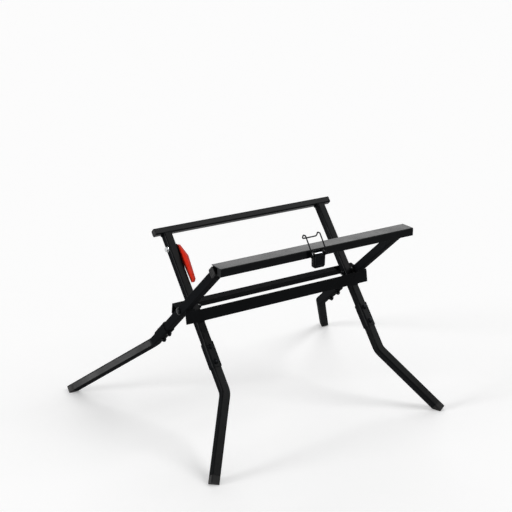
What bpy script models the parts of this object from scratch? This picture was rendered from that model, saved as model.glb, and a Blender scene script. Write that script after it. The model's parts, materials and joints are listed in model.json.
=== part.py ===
import bmesh
import bpy
from collections import namedtuple
from math import acos, cos, pi, radians, sin, tan
from mathutils import Matrix, Vector

# Driving dimensions in metres and degrees.
SUPPORT_HEIGHT = 0.551
PIVOT_HEIGHT = 0.3585
TUBE = 0.025
TUBE_WALL = 0.002
TUBE_ROUND = 0.0035
INNER_LEG_X = 0.2636
LEG_GAP = 0.0081
INNER_LEAN = radians(49.56)
OUTER_LEAN = radians(42.06)
INNER_BEND = 0.251
OUTER_BEND = 0.235
INNER_SPLAY = radians(29.1)
OUTER_SPLAY = radians(31.2)
BEND_RADIUS = 0.040
INNER_SLEEVE_DROP = 0.142
OUTER_SLEEVE_DROP = 0.153
SLEEVE_LENGTH = 0.072
SLEEVE_WALL = 0.0022
SLEEVE_BOLT_STEP = 0.044
REAR_TUBE = 0.020
REAR_RAIL_OVERHANG = 0.0225
FRONT_TUBE_OVERHANG = 0.0055
PLUG_FLANGE = 0.003
PLUG_STEM = 0.014
FRONT_BAR_PLATE = 0.034
FRONT_BAR_FLANGE = 0.018
FRONT_BAR_BEND = radians(75)
REAR_BAR_PLATE = 0.030
REAR_BAR_FLANGE = 0.0235
REAR_BAR_BEND = radians(90)
BAR_WALL = 0.003
BAR_TAB = 0.0048
BAR_NOTCH = 0.006
REAR_BAR_TOE = 0.008
RAIL_OVERHANG = 0.0038
RAIL_DEPTH = 0.045
RAIL_LIP = 0.022
RAIL_SHEET = 0.0025
RAIL_REACH = 0.0385
RAIL_ROUND = 0.003
INNER_FOOT_HEIGHT = -0.001
OUTER_FOOT_HEIGHT = 0.003
FOOT_LENGTH = 0.022
FOOT_STEM = 0.020
BOLT = 0.008
PIVOT_BOLT = 0.010
CARRIAGE_HEAD = 0.016
CARRIAGE_RISE = 0.0042
NUT_SIZE = 0.013
NUT_HEIGHT = 0.0075
BOLT_TAIL = 0.002
PIVOT_HEAD = 0.021
PIVOT_HEAD_RISE = 0.005
SPACER = 0.023
LEVER_BELOW_RAIL = 0.0553
LEVER_REACH = 0.036
LEVER_END = 0.009
LEVER_THICK = 0.006
LEVER_ROUND = 0.002
LEVER_EDGE = 0.002
LEVER_NUT_HEIGHT = 0.0035
LEVER_THROW = radians(4)
HOOK_THICK = 0.003
HOOK_WIDTH = 0.008
HOOK_LIP = 0.005
HOOK_LIP_PAST = 0.002
HOOK_ROUND = 0.0008
RIVET = 0.006
HEX_HEAD_HEIGHT = 0.0055
LATCH_X = -0.0195
LATCH_BASE_WIDTH = 0.030
LATCH_BASE_HEIGHT = 0.018
LATCH_SHEET = 0.002
LATCH_PIN = 0.005
LATCH_EAR = 0.004
LATCH_PIN_REACH = 0.006
LATCH_PIN_DROP = 0.010
PIN_HEAD_RISE = 0.0012
EAR_TURN = radians(50)
HANDLE_WIDTH = 0.038
HANDLE_LENGTH = 0.043
HANDLE_DEPTH = 0.011
HANDLE_TAPER = 0.001
HANDLE_CORNER = 0.004
BAIL_WIRE = 0.0042
BAIL_HEIGHT = 0.035
BAIL_SETBACK = 0.0175
BAIL_GRIP = 0.015
BAIL_HOOK = 0.012

# Clearances.
SEAT = 0.0003
FIT = 0.0003
STOP = 0.0004
SIDE_PLAY = 0.0006
HOOK_GAP = 0.0012

# Curve detail.
CORNER_STEPS = 2
ROUND_STEPS = 16
BEND_STEPS = 6
SMOOTH_ANGLE = radians(35)

Frame = namedtuple("Frame", "rise lean leg_x bend splay sleeve_drop foot_height")
CrossTube = namedtuple("CrossTube", "frame along length size")
Bar = namedtuple("Bar", "frame plate flange bend")
OUTER_LEG_X = INNER_LEG_X + TUBE + LEG_GAP
INNER = Frame(1, INNER_LEAN, INNER_LEG_X, INNER_BEND, INNER_SPLAY, INNER_SLEEVE_DROP,
              INNER_FOOT_HEIGHT)
OUTER = Frame(-1, OUTER_LEAN, OUTER_LEG_X, OUTER_BEND, OUTER_SPLAY, OUTER_SLEEVE_DROP,
              OUTER_FOOT_HEIGHT)
FRONT_TUBE_LENGTH = 2 * (OUTER_LEG_X + TUBE / 2 + FRONT_TUBE_OVERHANG)
REAR_RAIL_LENGTH = 2 * (INNER_LEG_X + TUBE / 2 + REAR_RAIL_OVERHANG)
RAIL_LENGTH = 2 * (OUTER_LEG_X + TUBE / 2 + RAIL_OVERHANG)
BAR_LENGTH = 2 * (OUTER_LEG_X + TUBE / 2)
FRONT_BAR = Bar(INNER, FRONT_BAR_PLATE, FRONT_BAR_FLANGE, FRONT_BAR_BEND)
REAR_BAR = Bar(OUTER, REAR_BAR_PLATE, REAR_BAR_FLANGE, REAR_BAR_BEND)
SIDES = (("left", -1), ("right", 1))
X_AXIS = Vector((1, 0, 0))
Z_AXIS = Vector((0, 0, 1))


def up_leg(frame):
    return Vector((0, frame.rise * cos(frame.lean), sin(frame.lean)))


def up_face(frame):
    return Vector((0, -frame.rise * sin(frame.lean), cos(frame.lean)))


def square(side, rounding):
    # A square with round corners, as points (across, off), counted anticlockwise.
    flat = side / 2 - rounding
    points = []
    for corner in range(4):
        middle = Vector((flat, 0)) + Vector((0, flat))
        for step in range(CORNER_STEPS + 1):
            turn = pi / 2 * step / CORNER_STEPS
            spot = middle + rounding * Vector((cos(turn), sin(turn)))
            points.append(Matrix.Rotation(pi / 2 * corner, 2) @ spot)
    return points


TUBE_OUTSIDE = square(TUBE, TUBE_ROUND)
TUBE_INSIDE = square(TUBE - 2 * TUBE_WALL, TUBE_ROUND - TUBE_WALL)
PLUG_OUTLINE = square(TUBE - 2 * TUBE_WALL - 2 * FIT, TUBE_ROUND - TUBE_WALL)


def corner_reach(lean, size):
    # How high a tilted tube's top corner stands over its centre.
    return (size / 2 - TUBE_ROUND) * (cos(lean) + sin(lean)) + TUBE_ROUND


def lower_stations(frame):
    # Centre line of a lower leg: outward offset, drop below the pivot, and turn.
    tangent = BEND_RADIUS * tan(frame.splay / 2)
    stations = [(0, frame.sleeve_drop + SEAT / 2, 0)]
    start = frame.bend - tangent
    for step in range(BEND_STEPS + 1):
        turn = frame.splay * step / BEND_STEPS
        outward = BEND_RADIUS * (1 - cos(turn))
        stations.append((outward, start + BEND_RADIUS * sin(turn), turn))
    return stations


def station_point(frame, side, station, across, off):
    outward, drop, turn = station
    x = frame.leg_x + outward + across * cos(turn)
    along = across * sin(turn) - drop
    return X_AXIS * side * x + up_leg(frame) * along + up_face(frame) * off


def down_splay(frame, side):
    return X_AXIS * side * sin(frame.splay) - up_leg(frame) * cos(frame.splay)


def station_ring(frame, side, station, outline):
    return [station_point(frame, side, station, *spot) for spot in outline]


def splay_ring(frame, side, outline, back):
    # The outline square across the splayed leg, this far back from its end.
    start = lower_stations(frame)[-1]
    direction = down_splay(frame, side)
    middle = station_point(frame, side, start, 0, 0).z + PIVOT_HEIGHT
    run = (frame.foot_height - middle) / direction.z - back
    return [spot + direction * run for spot in station_ring(frame, side, start, outline)]


def foot_reach(frame):
    # The end's corners that stand over the floor reach out furthest.
    ends = splay_ring(frame, 1, TUBE_OUTSIDE, 0)
    return max(abs(spot.y) for spot in ends if spot.z + PIVOT_HEIGHT > 0)


PIVOT = Vector((0, (foot_reach(INNER) - foot_reach(OUTER)) / 2, PIVOT_HEIGHT))


def leg_point(frame, x, along, off=0.0):
    return PIVOT + X_AXIS * x + up_leg(frame) * along + up_face(frame) * off


def rail_along(frame, top, size):
    # Where a cross tube sits on its legs so that its top corner is at this height.
    return (top - corner_reach(frame.lean, size) - PIVOT_HEIGHT) / sin(frame.lean)


REAR_RAIL = CrossTube(INNER, rail_along(INNER, SUPPORT_HEIGHT, REAR_TUBE), REAR_RAIL_LENGTH,
                      REAR_TUBE)
FRONT_TUBE = CrossTube(OUTER, rail_along(OUTER, SUPPORT_HEIGHT - RAIL_SHEET - SEAT, TUBE),
                       FRONT_TUBE_LENGTH, TUBE)
RAIL_FRONT = leg_point(OUTER, 0, FRONT_TUBE.along).y - RAIL_REACH
LEVER_ALONG = REAR_RAIL.along - LEVER_BELOW_RAIL
LEVER_AXIS = leg_point(INNER, 0, LEVER_ALONG)
LATCH_AXIS = Vector((LATCH_X, RAIL_FRONT - SEAT - LATCH_SHEET - LATCH_PIN_REACH,
                     SUPPORT_HEIGHT - LATCH_PIN_DROP))
BAIL_AXIS = LATCH_AXIS + Vector((0, 0, -LATCH_PIN_DROP))


def clear_scene():
    for item in list(bpy.data.objects):
        bpy.data.objects.remove(item)


def surface(name, colour, roughness, metallic):
    material = bpy.data.materials.new(name)
    material.use_nodes = True
    shader = material.node_tree.nodes["Principled BSDF"]
    shader.inputs["Base Color"].default_value = (*colour, 1)
    shader.inputs["Roughness"].default_value = roughness
    shader.inputs["Metallic"].default_value = metallic
    return material


def axis_empty(name, spot):
    empty = bpy.data.objects.new(name, None)
    empty.location = spot
    bpy.context.collection.objects.link(empty)
    return empty


def skin(rings, closed=False):
    # A surface through rings of equal count, ended by flat faces or closed on itself.
    mesh = bmesh.new()
    loops = [[mesh.verts.new(spot) for spot in ring] for ring in rings]
    pairs = list(zip(loops, loops[1:]))
    if closed:
        pairs.append((loops[-1], loops[0]))
    else:
        mesh.faces.new(loops[0])
        mesh.faces.new(loops[-1])
    for first, second in pairs:
        for here in range(len(first)):
            after = (here + 1) % len(first)
            mesh.faces.new((first[here], first[after], second[after], second[here]))
    bmesh.ops.recalc_face_normals(mesh, faces=mesh.faces)
    return mesh


def place(name, mesh, material=None, parent=None):
    data = bpy.data.meshes.new(name)
    mesh.to_mesh(data)
    mesh.free()
    data.shade_smooth()
    data.set_sharp_from_angle(angle=SMOOTH_ANGLE)
    item = bpy.data.objects.new(name, data)
    bpy.context.collection.objects.link(item)
    if material:
        data.materials.append(material)
    if parent:
        item.parent = parent
        item.matrix_parent_inverse = Matrix.Translation(-parent.location)
    return item


def combine(item, mesh, operation):
    # Cuts a mesh from an object, or joins it on.
    tool = place(f"{item.name}_{operation.lower()}_{len(item.modifiers)}", mesh)
    tool.hide_render = True
    tool.display_type = "WIRE"
    change = item.modifiers.new(operation.lower(), "BOOLEAN")
    change.operation = operation
    change.solver = "EXACT"
    change.object = tool


def square_axes(direction):
    # Two directions at right angles to this one.
    side = X_AXIS if abs(direction.x) < 0.9 else Z_AXIS
    first = direction.cross(side).normalized()
    return first, direction.cross(first)


def circle(centre, direction, radius, count=ROUND_STEPS):
    first, second = square_axes(direction)
    turns = [2 * pi * step / count for step in range(count)]
    return [centre + radius * (first * cos(a) + second * sin(a)) for a in turns]


def hexagon(centre, direction, size, count=12):
    # Six flats in a ring of twelve points, so that it joins on to a circle.
    first, second = square_axes(direction)
    ring = []
    for step in range(count):
        turn = 2 * pi * step / count
        reach = size / 2 if step % 2 else size / 2 / cos(pi / 6)
        ring.append(centre + reach * (first * cos(turn) + second * sin(turn)))
    return ring


def turned(start, direction, profile, count=ROUND_STEPS):
    # A round solid from pairs of distance along the axis and radius.
    rings = [circle(start + direction * run, direction, radius, count)
             for run, radius in profile]
    return skin(rings)


def hole(item, start, end, diameter):
    axis = end - start
    length = axis.length
    cutter = turned(start, axis / length, ((0, diameter / 2), (length, diameter / 2)))
    combine(item, cutter, "DIFFERENCE")


def block(low, high):
    corners = ((0, 0), (1, 0), (1, 1), (0, 1))
    spots = (low, high)
    return skin([[Vector((spots[a].x, spots[b].y, level.z)) for a, b in corners]
                 for level in spots])


def prism(frame, outline, x_start, x_end):
    # An outline in a leg's side plane, carried across in X.
    return skin([[leg_point(frame, x, *spot) for spot in outline]
                 for x in (x_start, x_end)])


def round_path(points, radius, steps, closed=False):
    # The same run of points with its corners made into arcs.
    path = []
    count = len(points)
    for index, corner in enumerate(points):
        if not closed and index in (0, count - 1):
            path.append(corner)
            continue
        before = (points[index - 1] - corner).normalized()
        after = (points[(index + 1) % count] - corner).normalized()
        half = acos(max(-1, min(1, before.dot(after)))) / 2
        middle = corner + (before + after).normalized() * (radius / sin(half))
        reach = radius / tan(half)
        first = corner + before * reach - middle
        last = corner + after * reach - middle
        sweep = pi - 2 * half
        for step in range(steps + 1):
            share = step / steps
            weight = sin((1 - share) * sweep), sin(share * sweep)
            path.append(middle + (first * weight[0] + last * weight[1]) / sin(sweep))
    return path


def outline_of(points, radius, steps=4):
    return round_path([Vector(spot) for spot in points], radius, steps, closed=True)


def wire(path, radius, count=8):
    # A round wire along a path, its section carried on without twist.
    directions = []
    for index in range(len(path)):
        ahead = path[min(index + 1, len(path) - 1)]
        behind = path[max(index - 1, 0)]
        directions.append((ahead - behind).normalized())
    side = square_axes(directions[0])[0]
    rings = []
    for spot, direction in zip(path, directions):
        side = (side - direction * side.dot(direction)).normalized()
        other = direction.cross(side)
        turns = [2 * pi * step / count for step in range(count)]
        rings.append([spot + radius * (side * cos(a) + other * sin(a)) for a in turns])
    return skin(rings)


def tube_rings(frame, x, ends, outline):
    return [[leg_point(frame, x + spot[0], along, spot[1]) for spot in outline]
            for along in ends]


def leg_tube(frame, x, ends, outside, inside):
    rings = tube_rings(frame, x, ends, outside)
    return skin(rings + tube_rings(frame, x, ends[::-1], inside), closed=True)


def sleeve_bolts_along(frame):
    middle = -frame.sleeve_drop
    return (middle + SLEEVE_BOLT_STEP / 2, middle - SLEEVE_BOLT_STEP / 2)


def sleeve_hole(item, frame, x, along):
    reach = TUBE
    start = leg_point(frame, x, along, -reach)
    hole(item, start, leg_point(frame, x, along, reach), BOLT + 2 * FIT)


def pivot_hole(item, x, diameter):
    start = PIVOT + X_AXIS * (x - TUBE)
    hole(item, start, PIVOT + X_AXIS * (x + TUBE), diameter)


def upper_leg(name, frame, side, rail, material, parent):
    x = side * frame.leg_x
    ends = (rail.along - rail.size / 2 - SEAT, SEAT / 2 - frame.sleeve_drop)
    leg = place(name, leg_tube(frame, x, ends, TUBE_OUTSIDE, TUBE_INSIDE), material, parent)
    pivot_hole(leg, x, PIVOT_BOLT + 2 * FIT)
    sleeve_hole(leg, frame, x, sleeve_bolts_along(frame)[0])
    return leg


def lower_leg(name, frame, side, material, parent):
    stations = lower_stations(frame)
    rings = [station_ring(frame, side, station, TUBE_OUTSIDE) for station in stations]
    rings.append(splay_ring(frame, side, TUBE_OUTSIDE, FOOT_LENGTH + SEAT))
    rings.append(splay_ring(frame, side, TUBE_INSIDE, FOOT_LENGTH + SEAT))
    for station in stations[::-1]:
        rings.append(station_ring(frame, side, station, TUBE_INSIDE))
    rings = [[PIVOT + spot for spot in ring] for ring in rings]
    leg = place(name, skin(rings, closed=True), material, parent)
    sleeve_hole(leg, frame, side * frame.leg_x, sleeve_bolts_along(frame)[1])


def foot(name, frame, side, material, parent):
    # A plug in the tube's end: square across, then cut level with the floor.
    steps = (
        (FOOT_LENGTH + FOOT_STEM, PLUG_OUTLINE), (FOOT_LENGTH, PLUG_OUTLINE),
        (FOOT_LENGTH, TUBE_OUTSIDE), (0, TUBE_OUTSIDE),
    )
    rings = [[PIVOT + spot for spot in splay_ring(frame, side, outline, back)]
             for back, outline in steps]
    item = place(name, skin(rings), material, parent)
    middle = sum(rings[-1], Vector()) / len(rings[-1])
    reach = Vector((2 * TUBE, 2 * TUBE, 0))
    low = Vector((middle.x, middle.y, -2 * TUBE))
    combine(item, block(low - reach, Vector((middle.x, middle.y, 0)) + reach), "DIFFERENCE")


def sleeve(name, frame, side, material, parent):
    x = side * frame.leg_x
    middle = -frame.sleeve_drop
    ends = (middle + SLEEVE_LENGTH / 2, middle - SLEEVE_LENGTH / 2)
    inside = square(TUBE + 2 * FIT, TUBE_ROUND + FIT)
    outside = square(TUBE + 2 * FIT + 2 * SLEEVE_WALL, TUBE_ROUND + FIT + SLEEVE_WALL)
    item = place(name, leg_tube(frame, x, ends, outside, inside), material, parent)
    for along in sleeve_bolts_along(frame):
        sleeve_hole(item, frame, x, along)


# Domed heads, as shares of their rise and radius.
CARRIAGE_DOME = ((1, 0.35), (0.75, 0.72), (0.3, 0.95), (0, 1))
PIVOT_DOME = ((1, 0.55), (0.75, 0.82), (0.3, 1), (0, 1))
SLEEVE_FACE = TUBE / 2 + FIT + SLEEVE_WALL
SLEEVE_BOLT_RUN = 2 * SLEEVE_FACE + 2 * SEAT + NUT_HEIGHT + BOLT_TAIL


def sleeve_bolt(name, frame, side, along, material, parent):
    start = leg_point(frame, side * frame.leg_x, along, SLEEVE_FACE + SEAT)
    profile = [(-CARRIAGE_RISE * rise, CARRIAGE_HEAD / 2 * reach)
               for rise, reach in CARRIAGE_DOME]
    profile += [(0, BOLT / 2), (SLEEVE_BOLT_RUN - BOLT_TAIL / 2, BOLT / 2),
                (SLEEVE_BOLT_RUN, BOLT / 2 - BOLT_TAIL / 2)]
    place(name, turned(start, -up_face(frame), profile), material, parent)


def nut_mesh(start, direction, bore, height=NUT_HEIGHT):
    # A lock nut: six flats, a round collar above them and a clear bore.
    flats = height * 0.65
    rings = [
        circle(start, direction, bore, 12),
        hexagon(start, direction, NUT_SIZE * 0.95),
        hexagon(start + direction * height * 0.08, direction, NUT_SIZE),
        hexagon(start + direction * flats, direction, NUT_SIZE),
        circle(start + direction * flats * 1.15, direction, NUT_SIZE * 0.46, 12),
        circle(start + direction * height, direction, NUT_SIZE * 0.42, 12),
        circle(start + direction * height, direction, bore, 12),
    ]
    return skin(rings, closed=True)


NUT_SLACK = FIT / cos(pi / 12) + FIT


def sleeve_nut(name, frame, side, along, material, parent):
    start = leg_point(frame, side * frame.leg_x, along, -SLEEVE_FACE - SEAT)
    mesh = nut_mesh(start, -up_face(frame), BOLT / 2 + NUT_SLACK)
    place(name, mesh, material, parent)


def cross_ring(tube, x, outline):
    return [leg_point(tube.frame, x, tube.along + a, b) for a, b in outline]


def cross_tube(name, tube, material, parent):
    # A tube lying across the leg tops, turned to lie flat on them.
    outside = square(tube.size, TUBE_ROUND)
    inside = square(tube.size - 2 * TUBE_WALL, TUBE_ROUND - TUBE_WALL)
    half = tube.length / 2
    rings = [cross_ring(tube, x, outside) for x in (-half, half)]
    rings += [cross_ring(tube, x, inside) for x in (half, -half)]
    return place(name, skin(rings, closed=True), material, parent)


def tube_plug(name, tube, side, material, parent):
    outside = square(tube.size, TUBE_ROUND)
    stem = square(tube.size - 2 * TUBE_WALL - 2 * FIT, TUBE_ROUND - TUBE_WALL)
    face = square(tube.size - 2 * TUBE_WALL, TUBE_ROUND)
    start = tube.length / 2 + SEAT
    steps = (
        (start - PLUG_STEM, stem), (start, stem), (start, outside),
        (start + PLUG_FLANGE * 0.5, outside), (start + PLUG_FLANGE, face),
    )
    rings = [cross_ring(tube, side * x, outline) for x, outline in steps]
    place(name, skin(rings), material, parent)


def bar_base(bar):
    # Distance between the two toes of a bar.
    edges = bar.plate ** 2 + bar.flange ** 2
    return (edges - 2 * bar.plate * bar.flange * cos(bar.bend)) ** 0.5


def bar_outline(bar, low_toe):
    # Bent sheet with both toes on the leg's upper face; low_toe is along the leg.
    base = bar_base(bar)
    rise = acos((bar.plate ** 2 + base ** 2 - bar.flange ** 2) / (2 * bar.plate * base))
    fall = rise + bar.bend - pi
    up_plate = Vector((cos(rise), sin(rise)))
    down_flange = Vector((cos(fall), sin(fall)))
    toe = Vector((low_toe, 0))
    apex = toe + up_plate * bar.plate
    flange_end = apex + down_flange * bar.flange
    outline = [
        toe, apex, flange_end,
        flange_end + Vector((down_flange.y, -down_flange.x)) * BAR_WALL,
        apex + (down_flange - up_plate) * BAR_WALL / sin(bar.bend),
        toe + Vector((up_plate.y, -up_plate.x)) * BAR_WALL,
    ]
    lift = TUBE / 2 + SEAT - min(spot.y for spot in outline)
    return [spot + Vector((0, lift)) for spot in outline]


def plate_axes(outline):
    # Up a bar's plate, and in through it.
    toe, apex, inner_toe = outline[0], outline[1], outline[5]
    return (apex - toe).normalized(), (inner_toe - toe).normalized()


def flange_cutter(bar, outline, x_start, x_end):
    # Takes the flange of a bar away and leaves its plate.
    apex, flange_end = outline[1:3]
    up_plate, inward = plate_axes(outline)
    inner = apex + inward * (BAR_WALL + FIT)
    spots = [inner - up_plate * 2 * BAR_WALL, inner + up_plate * BAR_WALL]
    spots += [spot + flange_end - apex for spot in spots[::-1]]
    return prism(bar.frame, spots, x_start, x_end)


def stop_tab(outline):
    # Tongue on top of the front bar's plate that an outer leg comes down on.
    up_plate, inward = plate_axes(outline)
    front = outline[1] + inward * SEAT
    back = outline[1] + inward * (BAR_WALL - SEAT)
    rise = up_plate * BAR_TAB
    return [front - rise, front + rise, back + rise, back - rise]


def stop_shift():
    # Sets the front bar so that its tabs sit just under the outer legs.
    corner = stop_tab(bar_outline(FRONT_BAR, 0))[2]
    lean = up_face(OUTER)
    off = up_leg(INNER) * corner.x + up_face(INNER) * corner.y
    return (-(TUBE / 2 + STOP) - off.dot(lean)) / up_leg(INNER).dot(lean)


def front_bar(material):
    outline = bar_outline(FRONT_BAR, stop_shift())
    half = BAR_LENGTH / 2
    bar = place("front_bar", prism(INNER, outline, -half, half), material)
    past_leg = INNER_LEG_X + TUBE / 2
    for side in (-1, 1):
        ends = sorted((side * past_leg, side * (half + BAR_WALL)))
        combine(bar, flange_cutter(FRONT_BAR, outline, *ends), "DIFFERENCE")
        ends = sorted((side * (past_leg + BAR_WALL), side * (half - SEAT)))
        combine(bar, prism(INNER, stop_tab(outline), *ends), "UNION")


def rear_bar_outline():
    return bar_outline(REAR_BAR, -REAR_BAR_TOE - bar_base(REAR_BAR))


def rear_bar(material, parent):
    outline = rear_bar_outline()
    half = BAR_LENGTH / 2
    bar = place("rear_bar", prism(OUTER, outline, -half, half), material, parent)
    leg_half = TUBE / 2
    for side in (-1, 1):
        ends = sorted((side * (INNER_LEG_X - leg_half - 2 * BAR_NOTCH),
                       side * (INNER_LEG_X + leg_half + BAR_NOTCH)))
        combine(bar, flange_cutter(REAR_BAR, outline, *ends), "DIFFERENCE")


def front_rail(material, parent):
    # Formed sheet: flat top, front lip and short closed ends.
    back = RAIL_FRONT + RAIL_DEPTH
    bottom = SUPPORT_HEIGHT - RAIL_LIP
    corner = Vector((RAIL_FRONT, SUPPORT_HEIGHT))
    outline = round_path([Vector((RAIL_FRONT, bottom)), corner,
                          Vector((back, SUPPORT_HEIGHT))], RAIL_ROUND, 4)
    outline.append(Vector((back, bottom)))
    half = RAIL_LENGTH / 2
    rings = [[Vector((x, *spot)) for spot in outline] for x in (-half, half)]
    rail = place("front_rail", skin(rings), material, parent)
    under = SUPPORT_HEIGHT - RAIL_SHEET
    tube_front = RAIL_FRONT + RAIL_REACH - corner_reach(OUTER_LEAN, TUBE) - 2 * RAIL_SHEET
    for x, start in ((half - RAIL_SHEET, RAIL_FRONT + RAIL_SHEET), (half * 1.1, tube_front)):
        low = Vector((-x, start, bottom - RAIL_LIP))
        combine(rail, block(low, Vector((x, back + RAIL_LIP, under))), "DIFFERENCE")
    return rail


def pivot_bolt(name, side, material):
    outer_face = OUTER_LEG_X + TUBE / 2 + SIDE_PLAY
    inner_face = INNER_LEG_X - TUBE / 2 - SEAT
    run = outer_face - inner_face + NUT_HEIGHT + BOLT_TAIL
    profile = [(-PIVOT_HEAD_RISE * rise, PIVOT_HEAD / 2 * reach)
               for rise, reach in PIVOT_DOME]
    profile += [(0, PIVOT_BOLT / 2), (run - BOLT_TAIL / 2, PIVOT_BOLT / 2),
                (run, PIVOT_BOLT / 2 - BOLT_TAIL / 2)]
    start = PIVOT + X_AXIS * side * outer_face
    place(name, turned(start, -X_AXIS * side, profile, 20), material)


def pivot_nut(name, side, material):
    start = PIVOT + X_AXIS * side * (INNER_LEG_X - TUBE / 2 - SEAT)
    mesh = nut_mesh(start, -X_AXIS * side, PIVOT_BOLT / 2 + FIT)
    place(name, mesh, material)


def pivot_spacer(name, side, material):
    near = INNER_LEG_X + TUBE / 2 + SEAT
    far = OUTER_LEG_X - TUBE / 2 - SIDE_PLAY
    rings = []
    for x, radius in ((near, SPACER / 2), (far, SPACER / 2), (far, 0), (near, 0)):
        reach = radius or PIVOT_BOLT / 2 + FIT
        rings.append(circle(PIVOT + X_AXIS * side * x, X_AXIS, reach, 20))
    place(name, skin(rings, closed=True), material)


HOOK_NEAR = -(INNER_LEG_X - TUBE / 2) + SIDE_PLAY
HOOK_FAR = HOOK_NEAR + HOOK_THICK
LEVER_NEAR = HOOK_FAR + SEAT
LEVER_FAR = LEVER_NEAR + LEVER_THICK
RIVET_SPOT = (0.884 * LEVER_ALONG, RIVET / 3)
# The lever's edge, as shares of its distance along the leg and of its reach off it.
LEVER_EDGE_SHARES = (
    (1.013, 0.365), (0.774, 1.0), (0.399, 0.79), (0.374, 0.56), (0.37, 0.44),
    (0.388, 0.23), (0.623, 0.11), (0.829, -0.08), (0.917, -0.33),
)


def lever_hole(item, diameter):
    start = LEVER_AXIS + X_AXIS * (HOOK_NEAR - 2 * TUBE)
    hole(item, start, LEVER_AXIS + X_AXIS * (LEVER_FAR + TUBE), diameter)


def rivet_hole(item):
    start = leg_point(INNER, HOOK_NEAR - FIT, *RIVET_SPOT)
    hole(item, start, leg_point(INNER, LEVER_FAR + FIT, *RIVET_SPOT), RIVET + 2 * FIT)


def release_lever(material, parent):
    # Bent paddle beside the left inner leg, in distances along and off that leg.
    top = LEVER_ALONG + LEVER_END
    spots = [(top, -0.31 * LEVER_REACH), (top, 0.05 * LEVER_REACH)]
    spots += [(LEVER_ALONG * run, LEVER_REACH * reach) for run, reach in LEVER_EDGE_SHARES]
    mesh = prism(INNER, outline_of(spots, LEVER_ROUND, 3), LEVER_NEAR, LEVER_FAR)
    lever = place("release_lever", mesh, material, parent)
    lever_hole(lever, BOLT + 2 * FIT)
    rivet_hole(lever)
    edge = lever.modifiers.new("edge", "BEVEL")
    edge.width = LEVER_EDGE
    edge.segments = 2
    edge.limit_method = "ANGLE"
    edge.angle_limit = radians(60)
    edge.harden_normals = False


def on_inner_leg(spot):
    # A point of the outer leg's side plane, as distances along and off the inner leg.
    place_there = up_leg(OUTER) * spot[0] + up_face(OUTER) * spot[1]
    return Vector((place_there.dot(up_leg(INNER)), place_there.dot(up_face(INNER))))


def let_go(spot):
    # Turns a point of the hook from its locked place to its rest.
    axis = Vector((LEVER_ALONG, 0))
    return axis + Matrix.Rotation(LEVER_THROW, 2) @ (spot - axis)


def hook_lip():
    # Round the lower edge of the rear bar's plate, when locked: from its front to its back.
    bar = rear_bar_outline()
    toe, apex, toe_inside = (on_inner_leg(bar[corner]) for corner in (0, 1, 5))
    up_plate = (apex - toe).normalized()
    out = (toe - toe_inside).normalized()
    arm = HOOK_GAP + HOOK_WIDTH
    low = -HOOK_GAP - HOOK_LIP
    past = -BAR_WALL - HOOK_LIP_PAST
    spots = (
        (REAR_BAR.plate + 2 * HOOK_GAP, HOOK_GAP), (-HOOK_GAP, HOOK_GAP), (-HOOK_GAP, past),
        (low, past), (low, HOOK_WIDTH / 2), (0, arm), (REAR_BAR.plate, arm),
    )
    return [let_go(toe + up_plate * run + out * off) for run, off in spots]


def lock_hook(material, parent):
    # Flat arm on the lever that goes down behind the leg to the rear bar.
    top = LEVER_ALONG + LEVER_END
    knee = (0.67 * LEVER_ALONG, -TUBE * 0.58)
    spots = [(top, -HOOK_WIDTH), (top, HOOK_WIDTH), (RIVET_SPOT[0], HOOK_WIDTH),
             (0.82 * LEVER_ALONG, 0), knee, *hook_lip(),
             (0.64 * LEVER_ALONG, knee[1] - HOOK_WIDTH), (0.91 * LEVER_ALONG, -1.2 * HOOK_WIDTH)]
    outline = outline_of(spots, HOOK_ROUND, 2)
    hook = place("lock_hook", prism(INNER, outline, HOOK_NEAR, HOOK_FAR), material, parent)
    lever_hole(hook, BOLT + 2 * FIT)
    rivet_hole(hook)


def hook_rivet(material, parent):
    sunk = HOOK_NEAR + SIDE_PLAY
    start = leg_point(INNER, sunk, *RIVET_SPOT)
    run = LEVER_FAR + SEAT - sunk
    head = RIVET * 0.9
    profile = (
        (0, RIVET / 2), (run, RIVET / 2), (run, head), (run + RIVET * 0.2, head),
        (run + RIVET * 0.35, head * 0.7),
    )
    place("hook_rivet", turned(start, X_AXIS, profile), material, parent)


def lever_bolt(material):
    outside = -(INNER_LEG_X + TUBE / 2) - SEAT
    run = LEVER_FAR + 2 * SEAT + LEVER_NUT_HEIGHT - outside
    steps = (-HEX_HEAD_HEIGHT, -HEX_HEAD_HEIGHT * 0.85, 0)
    sizes = (NUT_SIZE * 0.92, NUT_SIZE, NUT_SIZE)
    start = LEVER_AXIS + X_AXIS * outside
    rings = [hexagon(start + X_AXIS * x, X_AXIS, size) for x, size in zip(steps, sizes)]
    for x, radius in ((0, BOLT / 2), (run - BOLT_TAIL / 2, BOLT / 2), (run, BOLT * 0.42)):
        rings.append(circle(start + X_AXIS * x, X_AXIS, radius, 12))
    place("lever_bolt", skin(rings), material)


def lever_nut(material):
    start = LEVER_AXIS + X_AXIS * (LEVER_FAR + 2 * SEAT)
    mesh = nut_mesh(start, X_AXIS, BOLT / 2 + FIT, LEVER_NUT_HEIGHT)
    place("lever_nut", mesh, material)


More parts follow.
